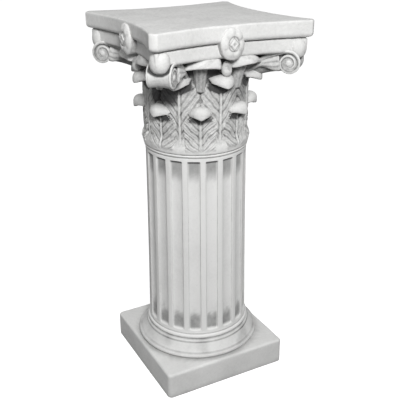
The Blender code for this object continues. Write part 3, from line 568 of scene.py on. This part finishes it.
# Painted shadow of the volute beside each corner.
for rings, grey in upper_leaves:
    climbing = rings[:climbing_rows]
    azimuth = np.arctan2(climbing[..., 1], climbing[..., 0])
    past_corner = azimuth % (np.pi / 2) - np.pi / 4
    volute_shadow = ease(0.02, -0.10, past_corner) * ease(-0.66, -0.50, past_corner)
    volute_shadow = volute_shadow * np.where(azimuth < -np.pi / 2, front_corner_shadow, other_corner_shadow)
    grey[:climbing_rows] += volute_shadow * ease(0.596, 0.622, climbing[..., 2])
upper = stone_piece("upper_leaves", upper_leaves, capital_stone)
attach(upper, "root")
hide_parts("capital")

# Volutes: a broad ribbon at each corner that leaves the bell, climbs under the slab and rolls up.
# The ribbon is hollowed along its length, with a raised rim on both edges, and the slab's corner
# rests in the hollow on a rounded pad. All are cast in one with the bell.

scroll_reach = 0.1885
scroll_height = slab_bottom - 0.0180
scroll_radius = 0.0245
scroll_turns = 1.5
scroll_shrink = 0.56
scroll_rows = 130
stalk_root = 0.09
stalk_foot = slab_bottom - 0.044
stalk_rows = 49
ribbon_half = 0.0230
ribbon_thickness = 0.0066
ribbon_hollow = 0.0046
core_end = 0.0212
pad_reach = 0.1995
pad_height = 0.7080
pad_size = 0.0180
pad_tall = 0.0195


def on_corner(corner, reach, side, height):
    """Points at a reach along a corner's diagonal, a distance to its side and a height."""
    angle = np.pi / 4 + corner * np.pi / 2
    return np.stack(np.broadcast_arrays(reach * np.cos(angle) - side * np.sin(angle),
                                        reach * np.sin(angle) + side * np.cos(angle), height), -1)


def stalk_height(reach):
    """Top of the ribbon between bell and scroll: a sine to the 0.87th power, up to the scroll's top."""
    share = (reach - stalk_root) / (scroll_reach - stalk_root)
    rise = scroll_height + scroll_radius - stalk_foot
    return stalk_foot + rise * np.sin(share * np.pi / 2) ** 0.87


def scroll_rings(corner):
    """Closed rings round the ribbon, carried along stalk and scroll, and how grey they are.

    The scroll's radius falls evenly to 0.44 of its size in one and a half turns. Across the ribbon
    the face sinks by (1 - (w / 0.88)²)^0.8 between the rims, which are rounded off outside, and it
    sinks half as deep on the scroll's front. Painted shade darkens both sides of the hollow, the stalk
    under the slab and the ribbon's back, and a painted shadow makes a line under the pad.
    """
    reach = np.linspace(stalk_root, scroll_reach, stalk_rows + 1)[:-1]
    climbed = np.linspace(0, 1, stalk_rows)
    share = np.linspace(0, 1, scroll_rows)
    turn = np.pi / 2 - 2 * np.pi * scroll_turns * share
    size = scroll_radius * (1 - scroll_shrink * share)
    path = np.stack([np.concatenate([reach, scroll_reach + size * np.cos(turn)]),
                     np.concatenate([stalk_height(reach), scroll_height + size * np.sin(turn)])], -1)
    step = np.gradient(path, axis=0)
    step = step / np.linalg.norm(step, axis=1, keepdims=True)
    inward = np.stack([step[:, 1], -step[:, 0]], -1)

    thick = ribbon_thickness * np.concatenate([2 - climbed, 1 - 0.40 * share])[:, None]
    wide = ribbon_half * np.concatenate([0.80 + 0.20 * ease(0, 1, 1.5 * climbed), 1 - 0.06 * share])
    side = np.concatenate([np.linspace(-1, 1, 53), np.linspace(1, -1, 9)])[None]
    on_face = np.arange(53 + 9)[None] < 53
    away = np.abs(side)
    cove = np.clip(1 - (away / 0.88) ** 2, 0, 1) ** 0.8
    hollow = np.concatenate([ribbon_hollow + 0 * reach, ribbon_hollow - 0.0024 * ease(0.03, 0.30, share)])
    sunk = hollow[:, None] * cove + 0.0014 * np.clip((away - 0.93) / 0.07, 0, 1) ** 2
    depth = np.where(on_face, np.minimum(sunk, thick * 0.75), thick)
    place = path[:, None] + inward[:, None] * depth[..., None]
    rings = on_corner(corner, place[..., 0], side * wide[:, None], place[..., 1])

    slab_shade = np.concatenate([1 - climbed ** 8, 0 * share])[:, None]
    turned = np.concatenate([1 + 0 * reach, share])[:, None]
    pad_shadow = ease(0.158, 0.140, turned + 0.05 * away ** 2) * ease(0.95, 0.80, away)
    grey = 0.06 + 0.16 * cove + 0.22 * line(away, 0.84, 0.04) + 0.85 * pad_shadow
    grey = grey + 0.225 * slab_shade * cove
    return rings, np.where(on_face, grey, 0.75) + 0 * depth


def scroll_core(corner):
    """Turned core between the ribbon's turns: sunk at both ends, with a small raised eye."""
    profile = [(0.0010, -0.0232), (0.0036, -0.0230), (0.0047, -0.0223), (0.0053, -0.0214)]
    profile += [(0.0080, -core_end), (0.0130, -core_end), (0.0165, -core_end)]
    profile += [(radius, -place) for radius, place in profile[::-1]]
    radius, place = np.array(profile).T[:, :, None]
    turn = np.arange(48) * 2 * np.pi / 48
    rings = on_corner(corner, scroll_reach + radius * np.cos(turn), place + 0 * turn,
                      scroll_height + radius * np.sin(turn))
    # Painted shade darkens the core's sunk part outside the eye.
    return rings, 0.10 + 0.30 * ease(0.0045, 0.0060, radius) + 0 * turn


def corner_pad(corner):
    """Closed rings round the pad, a rounded tongue: level rings from its foot up into the slab.

    With the rise as an angle, a ring's radius goes by the 0.6th power of its cosine.
    """
    turn = np.arange(64) * 2 * np.pi / 64
    rise = np.radians(np.linspace(-88, 60, 26))[:, None]
    size = pad_size * np.cos(rise) ** 0.6
    rings = on_corner(corner, pad_reach + size * np.cos(turn), size * np.sin(turn),
                      pad_height + pad_tall * np.sin(rise))
    # Painted shade darkens the pad's underside.
    return rings, 0.10 + 0.6 * ease(-1.0, -1.45, rise) + 0 * turn


scrolls = [scroll_rings(corner) for corner in range(4)] + [scroll_core(corner) for corner in range(4)]
scrolls += [corner_pad(corner) for corner in range(4)]
volutes = stone_piece("volutes", scrolls, capital_stone)
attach(volutes, "root")
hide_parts("capital")

# Sheaths: leaves on both sides under every ribbon, thin at the bell and full beside the scroll,
# where their end hangs down, and a rib between them, painted dark for shade. Cast in one with the ribbons.

sheath_root = 0.100
sheath_run = 0.070
sheath_low = 0.0100
sheath_growth = 0.0190
sheath_bulge = 0.0070
rib_root = 0.095
rib_run = 0.085
rib_foot = slab_bottom - 0.0600
rib_rise = 0.0235
rib_half = 0.0150


def sheath(corner, hand):
    """Closed rings round a sheath leaf, from the bell outwards.

    Its upper edge runs 5 to 8 mm under the ribbon's top. It is 10 mm tall near the bell and grows
    to 29 mm over the outer half, it bulges sideways by half a sine wave of the place down, and
    veins fan out over it, more of them where the leaf is wider.
    """
    share = np.linspace(0, 1, 60)[:, None]
    down = np.concatenate([np.linspace(0, 1, 33), np.linspace(1, 0, 9)])[None]
    on_face = np.arange(33 + 9)[None] < 33
    reach = sheath_root + sheath_run * share
    top = stalk_height(reach) - 0.0050 - 0.0030 * share
    tall = sheath_low + sheath_growth * ease(0.42, 0.96, share)
    half = ribbon_half * (0.80 + 0.20 * ease(0.0, 0.65, share))
    veins = np.abs(np.sin(np.pi * down * (1.2 + 1.8 * share))) ** 0.6
    bulge = sheath_bulge * np.sin(np.pi * (0.10 + 0.76 * down)) * ease(-0.1, 0.35, share)
    bulge = bulge + 0.0010 * veins * ease(0.2, 0.5, share)
    side = np.where(on_face, half - 0.0040 + bulge, half - 0.014)
    height = top - tall * down + np.where(on_face, 0, 0.002) * down
    rings = on_corner(corner, reach + 0.0040 * down * share, hand * side, height)
    # Painted shade between the veins, along the lower edge, under the ribbon and on the rear.
    grey = 0.16 + 0.45 * (1 - veins) * ease(0.1, 0.4, share)
    grey = grey + 0.30 * ease(0.86, 1.0, down) + 0.45 * ease(0.06, 0.0, down)
    return rings, np.where(on_face, grey, 0.9) + 0 * reach


def corner_rib(corner):
    """Closed rings round the rib under a ribbon, from the bell out into the scroll.

    Its underside rises from the bell by 1 - (1 - t)^1.8 and levels out, and is rounded across.
    """
    share = np.linspace(0, 1, 40)[:, None]
    turn = np.radians(np.linspace(0, 180, 25))[None]
    reach = rib_root + rib_run * share
    low = rib_foot + rib_rise * (1 - (1 - share) ** 1.8)
    high = stalk_height(reach) - 0.0040
    across = np.concatenate([np.cos(turn), [[-0.9, 0.9]]], 1)
    fall = np.concatenate([np.sin(turn) ** 0.7, [[0.0, 0.0]]], 1)
    height = high - 0.004 - (high - 0.004 - low) * fall
    height[:, -2:] = high
    rings = on_corner(corner, reach, rib_half * across, height)
    # Painted shade: the rib is dark all over, darkest along its top under the ribbon.
    return rings, 0.86 - 0.20 * fall + 0 * reach


sheath_leaves = [sheath(corner, hand) for corner in range(4) for hand in (-1, 1)]
sheath_leaves += [corner_rib(corner) for corner in range(4)]
sheaths = stone_piece("sheaths", sheath_leaves, capital_stone)
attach(sheaths, "root")
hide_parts("capital")

# Curls and their stems: on every side two leaf lips flow from their stems to the side's middle and
# arch over hollows, painted dark for shade, close under the slab. The short fluted stems stand
# between the upper leaves, in painted shade. All are cast in one with the bell.

curl_root = 0.1080
curl_ends = 0.1160
curl_reach = 0.0130
curl_arch = 0.0185
curl_foot = slab_bottom - 0.0195
curl_rise = 0.0075
curl_lip = 0.0034
curl_depth = 0.016
stem_reach = 0.1000
stem_lean = 0.0165
stem_foot = slab_bottom - 0.064
stem_height = 0.061
stem_radius = 0.0095
stem_growth = 0.0045
stem_ribs = 8


def curl_rings(side, hand):
    """Closed rings round a curl, from its stem to the side's middle.

    Seen in the upright plane through the axis, its back falls in a quarter of an ellipse from the
    slab to the lip, the lip is a small half circle, and the inside rises steeply behind it. The
    lip's reach and height follow half a sine wave on the way, the back lies lower near the stem,
    and both ends are drawn in. Furrows are grey lines of painted shade that fan out over the back,
    and painted shade darkens the back under the slab, the lip's underside, the hollow and the stem end.
    """
    share = np.linspace(0, 1, 60)[:, None]
    azimuth = side * np.pi / 2 + hand * np.radians(41 - 36.5 * share)
    round_end = np.sqrt(1 - np.clip((share - 0.88) / 0.12, 0, 0.96) ** 2)
    ends = np.minimum(ease(-0.10, 0.22, share), round_end)
    arch = np.sin(np.pi * share)
    lip = curl_ends + (curl_reach + curl_arch * arch ** 0.8 + 0.0010 * np.sin(14 * share)) * ends
    edge = curl_lip * (0.45 + 0.55 * ends)
    low = curl_foot + curl_rise * arch - 0.0030 * (1 - share)
    crown = slab_bottom + 0.0030 - 0.0150 * ease(0.55, 0.0, share)

    swing = np.radians(np.linspace(0, 90, 15))[None]
    depth = np.minimum(curl_depth, lip - 0.1120)
    back_reach = lip - depth * (1 - np.sin(swing))
    back_height = low + edge + (crown - low - edge) * np.cos(swing)
    roll = np.radians(np.linspace(-15, -180, 12))[None]
    lip_reach = lip - edge * (1 - np.cos(roll))
    lip_level = low + edge + edge * np.sin(roll)
    inside = np.array([0.25, 0.6, 1.0])[None]
    inside_reach = lip - 2 * edge - 0.004 * inside
    inside_height = low + edge + (crown - 0.0052 - low - edge) * inside
    root_reach = curl_root + 0 * share + 0 * inside
    root_height = crown + np.array([[-0.0060, -0.0030, 0.0]])
    reach = np.concatenate([back_reach, lip_reach, inside_reach, root_reach], 1)
    height = np.concatenate([back_height, lip_level, inside_height, root_height], 1)
    rings = np.stack([reach * np.cos(azimuth), reach * np.sin(azimuth), height], -1)

    # Painted shade: furrow lines, the back under the slab, the lip's underside and the hollow.
    furrow = line(np.sin(9 * share + 2.2 * swing), 0.95, 0.22) * ease(0.2, 0.9, swing)
    back_grey = 0.10 + 0.35 * ease(0.5, 0.0, swing) + 0.175 * furrow
    lip_grey = 0.08 + 0.6 * ease(-1.4, -2.6, roll) + 0 * share
    hollow_grey = 1.0 + 0 * root_reach
    grey = np.concatenate([back_grey, lip_grey, hollow_grey, hollow_grey], 1)
    return rings, grey + 0.25 * ease(0.25, 0.0, share)


def stem_rings(azimuth):
    """Closed rings round a stem: a circle with shallow ribs, growing and leaning out as it rises."""
    share = np.linspace(0, 1, 24)[:, None]
    turn = np.arange(64) * 2 * np.pi / 64
    ribs = np.cos(stem_ribs * turn)
    size = (stem_radius + stem_growth * share) * (1 + 0.03 * ribs)
    out = stem_reach + stem_lean * share ** 1.5 + size * np.cos(turn)
    aside = size * np.sin(turn)
    rings = np.stack([out * np.cos(azimuth) - aside * np.sin(azimuth),
                      out * np.sin(azimuth) + aside * np.cos(azimuth),
                      stem_foot + stem_height * share + 0 * out], -1)
    # Painted shade: stems mid grey, lighter on their ribs, darker at the top under the curls.
    return rings, 0.42 - 0.08 * ribs + 0.35 * ease(0.75, 1.0, share)


growth = [curl_rings(side, hand) for side in range(4) for hand in (-1, 1)]
growth += [stem_rings((index + 0.5) * 2 * np.pi / leaf_count) for index in range(leaf_count)]
curls = stone_piece("curls_and_stems", growth, capital_stone)
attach(curls, "root")
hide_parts("capital")

# Buds and rosettes: in the middle of every side a bud hangs under the slab, and on the slab is a
# worn round flower with a flat diamond in its middle. All are cast in one with the capital.

bud_reach = 0.1235
bud_height = slab_bottom - 0.0225
bud_size = 0.0098
bud_neck = 0.0060
rosette_half = 0.0240
rosette_half_tall = 0.0295
rosette_height = 0.7264
rosette_rim = 0.1440
rosette_dome = 0.0058
diamond_half = 0.0086
diamond_half_tall = 0.0100
flower_rings = 44


def bud_rings(side):
    """Closed rings round a bud that points outwards: a thin neck and then an upright egg."""
    turn = np.arange(48) * 2 * np.pi / 48
    swing = np.radians(np.linspace(-60, 86, 22))
    reach = np.concatenate([[0.100, 0.112], bud_reach + 0.0095 * np.sin(swing)])[:, None]
    size = np.concatenate([[bud_neck, bud_neck], bud_size * np.cos(swing)])[:, None]
    aside = size * np.cos(turn)
    tall = size * np.where(np.sin(turn) > 0, 1.75, 1.22) * np.sin(turn)
    angle = side * np.pi / 2
    rings = np.stack([reach * np.cos(angle) - aside * np.sin(angle),
                      reach * np.sin(angle) + aside * np.cos(angle), bud_height + tall], -1)
    # Painted shade darkens the bud's neck and its upper half under the slab.
    return rings, 0.14 + 0.6 * ease(0.122, 0.112, reach) + 0.3 * ease(0.2, 1.0, np.sin(turn))


def rosette_rings(side):
    """Closed rings of a rosette, from its rear to the middle of its face.

    Six petals raise the face by a cosine round the flower, most of it two thirds of the way out,
    and narrow grooves part them. The middle has a shallow ring and a diamond where |x| + |z| stays
    small.
    """
    turn = np.arange(120) * 2 * np.pi / 120
    size = np.concatenate([[1.0, 1.0, 1.0], np.linspace(1.0, 0.02, flower_rings)])[:, None]
    petal = np.abs(np.cos(3 * turn + 0.35)) ** 0.6
    wave = 1 - 0.045 * (1 - petal) * size
    across = rosette_half * size * wave * np.cos(turn)
    tall = rosette_half_tall * size * wave * np.sin(turn)
    diamond = np.abs(across) / diamond_half + np.abs(tall) / diamond_half_tall
    face = rosette_rim + rosette_dome * np.sqrt(np.clip(1 - size ** 3.2, 0, 1))
    face = face + 0.0016 * petal * line(size, 0.66, 0.20) - 0.0014 * line(size, 0.44, 0.04)
    face = face + 0.0026 * ease(1.12, 0.86, diamond) - 0.0012 * ease(0.5, 0.3, diamond)
    rear = np.array([0.124, 0.134, 0.141])[:, None] + 0 * turn
    reach = np.concatenate([rear, face[3:]])
    angle = side * np.pi / 2
    rings = np.stack([reach * np.cos(angle) - across * np.sin(angle),
                      reach * np.sin(angle) + across * np.cos(angle), rosette_height + tall], -1)
    # Painted shade in the ring groove, between the petals, round the diamond and in its sunk middle.
    dark = 0.40 * line(size, 0.44, 0.05) + 0.25 * (1 - petal) * line(size, 0.7, 0.2)
    dark = dark + 0.45 * line(diamond, 1.15, 0.12) + 0.3 * ease(0.45, 0.3, diamond)
    return rings, np.concatenate([0.4 + 0 * rear, (0.10 + dark)[3:]])


flowers = [bud_rings(side) for side in range(4)] + [rosette_rings(side) for side in range(4)]
rosettes = stone_piece("buds_and_rosettes", flowers, capital_stone)
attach(rosettes, "root")
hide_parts("capital")

# Slab: the thick top plate of the capital, cast in one with it, with hollowed sides and blunt corners.
# Its lower edge is rounded over a narrow line and a set-back band with a soft lower edge.

slab_half = 0.1665
slab_cut = 0.0112
slab_hollow = 0.0240
slab_corner_bow = 0.0011
slab_unevenness = 0.0050
slab_dip = 0.0008
band_inset = 0.0105
band_edge = 0.0072
groove_height = 0.7266
lower_edge = (0.0070, 0.7285, 0.0085)
upper_edge = (0.0036, 0.7564)


def slab_rings(levels):
    """Rings of the slab. A level is how far it is set in and its height; sides hollow as 1 - t².

    Every corner is cut by a shallow bow, 1.6 mm proud of the straight line in its middle.
    """
    inset, height = np.array(levels, float).T[:, :, None]
    along = np.concatenate([[-1, -0.993, -0.980], np.linspace(-0.960, 0.960, 64), [0.980, 0.993, 1]])
    out = slab_half - inset - slab_hollow * (1 - along ** 2)
    aside = (slab_half - slab_cut - inset * 0.414) * along
    end_out, end_aside = out[:, -1:], aside[:, -1:]
    across = np.array([0.08, 0.22, 0.41, 0.59, 0.78, 0.92])
    bow = slab_corner_bow * 4 * across * (1 - across)
    out = np.concatenate([out, end_out + (end_aside - end_out) * across + bow], 1)
    aside = np.concatenate([aside, end_aside + (end_out - end_aside) * across + bow], 1)
    sides = []
    for turn in np.arange(4) * np.pi / 2:
        sides.append(np.stack([out * np.cos(turn) - aside * np.sin(turn),
                               out * np.sin(turn) + aside * np.cos(turn), height + 0 * out], -1))
    return np.concatenate(sides, 1)


# From below: the band's soft edge and its face, the groove, the slab's rounded lower edge, its
# face and its small upper edge.
levels = [(0.0185, slab_bottom)]
levels += [(band_inset + band_edge * (1 - np.sin(turn)), slab_bottom + band_edge * (1 - np.cos(turn)))
           for turn in np.radians(np.linspace(4, 90, 8))]
levels += [(band_inset, height) for height in (0.7095, 0.7130, 0.7165, 0.7200, 0.7230)]
levels += [(0.0109, 0.7247), (0.0120, 0.7255), (0.0134, 0.7260), (0.0138, 0.7268), (0.0130, 0.7275)]
levels += [(0.0092, 0.7278), (0.0078, 0.7281)]
levels += [(lower_edge[0] * (1 - np.sin(turn)), lower_edge[1] + lower_edge[2] * (1 - np.cos(turn)))
           for turn in np.radians(np.linspace(8, 90, 10))]
levels += [(0.0, height) for height in (0.7390, 0.7420, 0.7450, 0.7480, 0.7510, 0.7540)]
levels += [(upper_edge[0] * (1 - np.cos(turn)), upper_edge[1] + upper_edge[0] * np.sin(turn))
           for turn in np.radians(np.linspace(0, 90, 8))]
slab_points = slab_rings(levels)
flat = np.array([1, 1, 0])
under = [slab_points[0] * (1 - flat * share) for share in (0.85, 0.6, 0.3)]
over = [slab_points[-1] * (1 - flat * share)
        for share in (0.02, 0.05, 0.10, 0.18, 0.3, 0.45, 0.6, 0.75, 0.9)]
slab_points = np.concatenate([under, slab_points, over])
slab_uneven = waver(slab_points, 0.080, 23)
slab_points[..., :2] *= (1 - slab_unevenness * slab_uneven)[..., None]
slab_points[..., 2] -= slab_dip * slab_uneven * (slab_points[..., 2] > 0.750)

# Painted shade lies in the groove, a little of it over the top face, and under the band.
height = slab_points[..., 2]
slab_grey = 0.08 + 0.62 * line(height, groove_height, 0.0011)
slab_grey = slab_grey + 0.06 * ease(0.757, 0.7595, height) + 0.45 * ease(0.7035, 0.699, height)
slab = stone_piece("slab", [(slab_points, slab_grey)], capital_stone)
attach(slab, "root")
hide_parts("capital")

# Floor and light: a plain pale floor, a pale sky that lights from above, and one soft light in
# front, high up on the left. None of them is part of the column.

floor_half = 40.0
floor_glow = 0.60
sky_below = 0.03
sky_above = 0.53
softbox_place = Vector((-0.55, -1.42, 1.42))
softbox_aim = Vector((0, 0, 0.62))
softbox_size = 0.36
softbox_watts = 25.5

floor_mesh = bpy.data.meshes.new("floor")
floor_mesh.from_pydata([(-floor_half, -floor_half, 0), (floor_half, -floor_half, 0),
                        (floor_half, floor_half, 0), (-floor_half, floor_half, 0)], [], [(0, 1, 2, 3)])
floor_material = bpy.data.materials.new("pale floor")
floor_material.use_nodes = True
floor_shader = floor_material.node_tree.nodes["Principled BSDF"]
floor_shader.inputs["Base Color"].default_value = (0.86, 0.86, 0.86, 1)
floor_shader.inputs["Roughness"].default_value = 0.9
floor_shader.inputs["Emission Color"].default_value = (1, 1, 1, 1)
floor_shader.inputs["Emission Strength"].default_value = floor_glow
floor_mesh.materials.append(floor_material)
floor = bpy.data.objects.new("floor", floor_mesh)
floor.visible_diffuse = False
bpy.context.scene.collection.objects.link(floor)

# The sky lights the column from above only, and the camera sees it plain white.
world = bpy.data.worlds.new("studio")
bpy.context.scene.world = world
world.use_nodes = True
sky = Shade(world.node_tree)
way = sky.node("ShaderNodeTexCoord", {}, {}, "Generated")
up = sky.node("ShaderNodeSeparateXYZ", {}, {"Vector": way}, "Z")
above = sky.node("ShaderNodeMapRange", {}, {"Value": up, "From Min": -0.05, "From Max": 0.25,
                                            "To Min": sky_below, "To Max": sky_above}, "Result")
seen = sky.node("ShaderNodeLightPath", {}, {}, "Is Camera Ray")
background = world.node_tree.nodes["Background"]
background.inputs["Color"].default_value = (1, 1, 1, 1)
world.node_tree.links.new((above * (1.0 - seen) + seen).socket, background.inputs["Strength"])

softbox_data = bpy.data.lights.new("softbox", "AREA")
softbox_data.shape = "DISK"
softbox_data.size = softbox_size
softbox_data.energy = softbox_watts
softbox = bpy.data.objects.new("softbox", softbox_data)
softbox_turn = (softbox_aim - softbox_place).to_track_quat("-Z", "Y").to_matrix().to_4x4()
softbox.matrix_world = Matrix.Translation(softbox_place) @ softbox_turn
bpy.context.scene.collection.objects.link(softbox)

# Camera: at the photograph's angle, 28 degrees round to the left of the -Y side and 23 above.
# Its distance and aim are worked out from the corners of slab and plinth.

camera_azimuth = np.radians(-27.9)
camera_elevation = np.radians(23.2)
camera_roll = np.radians(-0.36)
camera_distance = 1.432
aim_height = 0.3738
aim_aside = 0.0079
focal_pixels = 668.0
picture_pixels = 400
sensor_width = 36.0

back_way = np.array([np.sin(camera_azimuth) * np.cos(camera_elevation),
                     -np.cos(camera_azimuth) * np.cos(camera_elevation), np.sin(camera_elevation)])
right_way = np.array([np.cos(camera_azimuth), np.sin(camera_azimuth), 0.0])
up_way = np.cross(back_way, right_way)
camera_place = np.array([0, 0, aim_height]) + right_way * aim_aside + back_way * camera_distance
camera_right = right_way * np.cos(camera_roll) + up_way * np.sin(camera_roll)
camera_up = up_way * np.cos(camera_roll) - right_way * np.sin(camera_roll)
camera_data = bpy.data.cameras.new("camera")
camera_data.sensor_width = sensor_width
camera_data.lens = focal_pixels / picture_pixels * sensor_width
camera = bpy.data.objects.new("camera", camera_data)
camera.matrix_world = Matrix.Translation(Vector(camera_place)) @ Matrix(
    (camera_right, camera_up, back_way)).transposed().to_4x4()
bpy.context.scene.collection.objects.link(camera)
bpy.context.scene.camera = camera
bpy.context.scene.view_settings.view_transform = "Standard"
